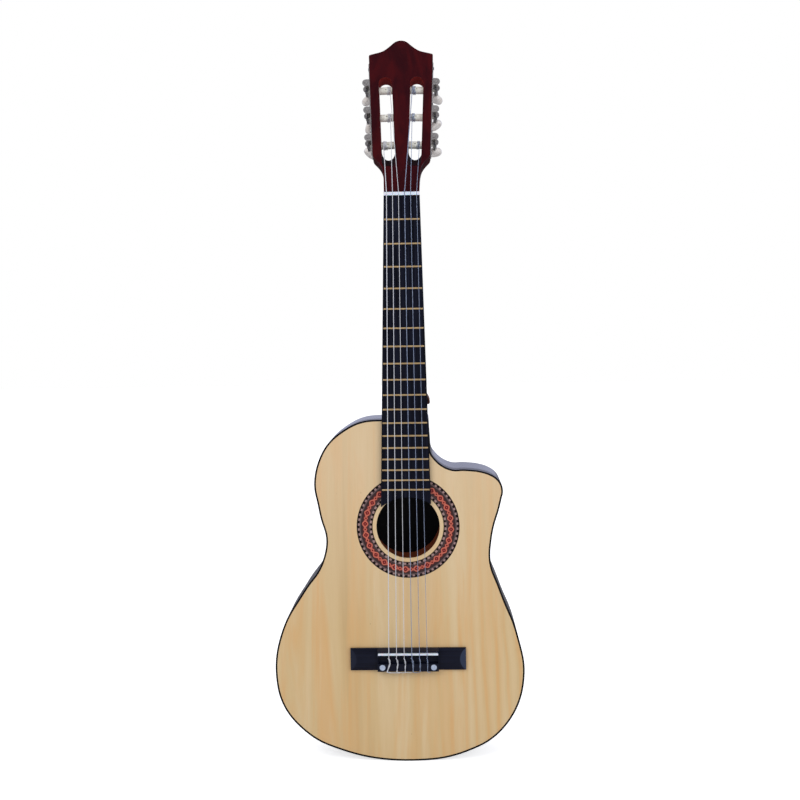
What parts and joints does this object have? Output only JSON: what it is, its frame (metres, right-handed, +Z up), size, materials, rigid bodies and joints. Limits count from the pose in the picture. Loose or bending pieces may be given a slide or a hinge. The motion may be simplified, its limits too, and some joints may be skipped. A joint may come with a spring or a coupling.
{
  "type": "cutaway guitar",
  "caption": "Small nylon-string acoustic guitar with a treble-side cutaway, a slotted head with geared tuners, a tie bridge and a mosaic sound hole ring.",
  "frame": {"origin": "on the neck's centre line and front face, at the zero line of the scale, which the nut covers", "axes": "+Z up the neck towards the head, +X towards the treble side with the cutaway, and the front with the strings faces -Y"},
  "size_m": [0.333, 0.1183, 0.9734],
  "materials": {
    "spruce_top": "clear gloss lacquer",
    "body_lacquer": "high gloss lacquer",
    "black_trim": "gloss",
    "neck_lacquer": "high gloss lacquer",
    "dark_board": "satin",
    "inner_wood": "bare sanded",
    "mosaic_ring": "gloss lacquer over inlay",
    "bone_white": "satin",
    "roller_white": "satin",
    "pearl_button": "pearl gloss",
    "plate_nickel": "bright, lightly brushed",
    "gear_steel": "machined",
    "fret_brass": "polished",
    "screw_steel": "bright",
    "wound_wire": "fine winding",
    "clear_nylon": "clear",
    "paper_label": "matt paper",
    "dot_pearl": "pearl gloss",
    "strap_brown": "gloss"
  },
  "bodies": {
    "instrument": {"soundboard": "spruce_top", "back_plate": "body_lacquer", "ribs_bass": "body_lacquer", "ribs_treble": "body_lacquer", "top_binding": "black_trim", "back_binding": "black_trim", "heel_cap": "black_trim", "neck": "neck_lacquer", "fretboard": "dark_board", "bridge": "dark_board", "top_lining": "inner_wood", "back_lining": "inner_wood", "top_braces": "inner_wood", "back_braces": "inner_wood", "neck_block": "inner_wood", "tail_block": "inner_wood", "bridge_plate": "inner_wood", "rosette": "mosaic_ring", "nut": "bone_white", "saddle": "bone_white", "frets": "fret_brass", "label": "paper_label", "bridge_dots": "dot_pearl", "bridge_bolts": "screw_steel", "tuner_plate_bass": "plate_nickel", "tuner_plate_treble": "plate_nickel", "tuner_screws": "screw_steel", "strap_button": "strap_brown", "strap_screw": "screw_steel", "string_1": "clear_nylon", "string_2": "clear_nylon", "string_3": "clear_nylon", "string_4": "wound_wire", "string_5": "wound_wire", "string_6": "wound_wire"},
    "tuner_1": {"worm_shaft_1": "plate_nickel", "button_1": "pearl_button"},
    "post_1": {"roller_1": "roller_white", "gear_1": "gear_steel"},
    "tuner_2": {"worm_shaft_2": "plate_nickel", "button_2": "pearl_button"},
    "post_2": {"roller_2": "roller_white", "gear_2": "gear_steel"},
    "tuner_3": {"worm_shaft_3": "plate_nickel", "button_3": "pearl_button"},
    "post_3": {"roller_3": "roller_white", "gear_3": "gear_steel"},
    "tuner_4": {"worm_shaft_4": "plate_nickel", "button_4": "pearl_button"},
    "post_4": {"roller_4": "roller_white", "gear_4": "gear_steel"},
    "tuner_5": {"worm_shaft_5": "plate_nickel", "button_5": "pearl_button"},
    "post_5": {"roller_5": "roller_white", "gear_5": "gear_steel"},
    "tuner_6": {"worm_shaft_6": "plate_nickel", "button_6": "pearl_button"},
    "post_6": {"roller_6": "roller_white", "gear_6": "gear_steel"}
  },
  "joints": [
    {"name": "tuner_1_turn", "type": "hinge", "parent": "instrument", "child": "tuner_1", "pos_m": [0.04454, 0.03202, 0.07627], "axis": [0, 0.9613, -0.2756], "continuous": true},
    {"name": "post_1_turn", "type": "hinge", "parent": "instrument", "child": "post_1", "pos_m": [0.03922, 0.02959, 0.06779], "axis": [0.9994, -0.0098, -0.0342], "continuous": true},
    {"name": "tuner_2_turn", "type": "hinge", "parent": "instrument", "child": "tuner_2", "pos_m": [0.04598, 0.04319, 0.1152], "axis": [0, 0.9613, -0.2756], "continuous": true},
    {"name": "post_2_turn", "type": "hinge", "parent": "instrument", "child": "post_2", "pos_m": [0.04066, 0.04076, 0.10673], "axis": [0.9994, -0.0098, -0.0342], "continuous": true},
    {"name": "tuner_3_turn", "type": "hinge", "parent": "instrument", "child": "tuner_3", "pos_m": [0.04742, 0.05435, 0.15413], "axis": [0, 0.9613, -0.2756], "continuous": true},
    {"name": "post_3_turn", "type": "hinge", "parent": "instrument", "child": "post_3", "pos_m": [0.04211, 0.05192, 0.14566], "axis": [0.9994, -0.0098, -0.0342], "continuous": true},
    {"name": "tuner_4_turn", "type": "hinge", "parent": "instrument", "child": "tuner_4", "pos_m": [-0.04742, 0.05435, 0.15413], "axis": [0, 0.9613, -0.2756], "continuous": true},
    {"name": "post_4_turn", "type": "hinge", "parent": "instrument", "child": "post_4", "pos_m": [-0.04211, 0.05192, 0.14566], "axis": [-0.9994, -0.0098, -0.0342], "continuous": true},
    {"name": "tuner_5_turn", "type": "hinge", "parent": "instrument", "child": "tuner_5", "pos_m": [-0.04598, 0.04319, 0.1152], "axis": [0, 0.9613, -0.2756], "continuous": true},
    {"name": "post_5_turn", "type": "hinge", "parent": "instrument", "child": "post_5", "pos_m": [-0.04066, 0.04076, 0.10673], "axis": [-0.9994, -0.0098, -0.0342], "continuous": true},
    {"name": "tuner_6_turn", "type": "hinge", "parent": "instrument", "child": "tuner_6", "pos_m": [-0.04454, 0.03202, 0.07627], "axis": [0, 0.9613, -0.2756], "continuous": true},
    {"name": "post_6_turn", "type": "hinge", "parent": "instrument", "child": "post_6", "pos_m": [-0.03922, 0.02959, 0.06779], "axis": [-0.9994, -0.0098, -0.0342], "continuous": true}
  ],
  "couplings": [
    {"joint": "post_1_turn", "follows": "tuner_1_turn", "ratio": 0.071429},
    {"joint": "post_2_turn", "follows": "tuner_2_turn", "ratio": 0.071429},
    {"joint": "post_3_turn", "follows": "tuner_3_turn", "ratio": 0.071429},
    {"joint": "post_4_turn", "follows": "tuner_4_turn", "ratio": -0.071429},
    {"joint": "post_5_turn", "follows": "tuner_5_turn", "ratio": -0.071429},
    {"joint": "post_6_turn", "follows": "tuner_6_turn", "ratio": -0.071429}
  ]
}
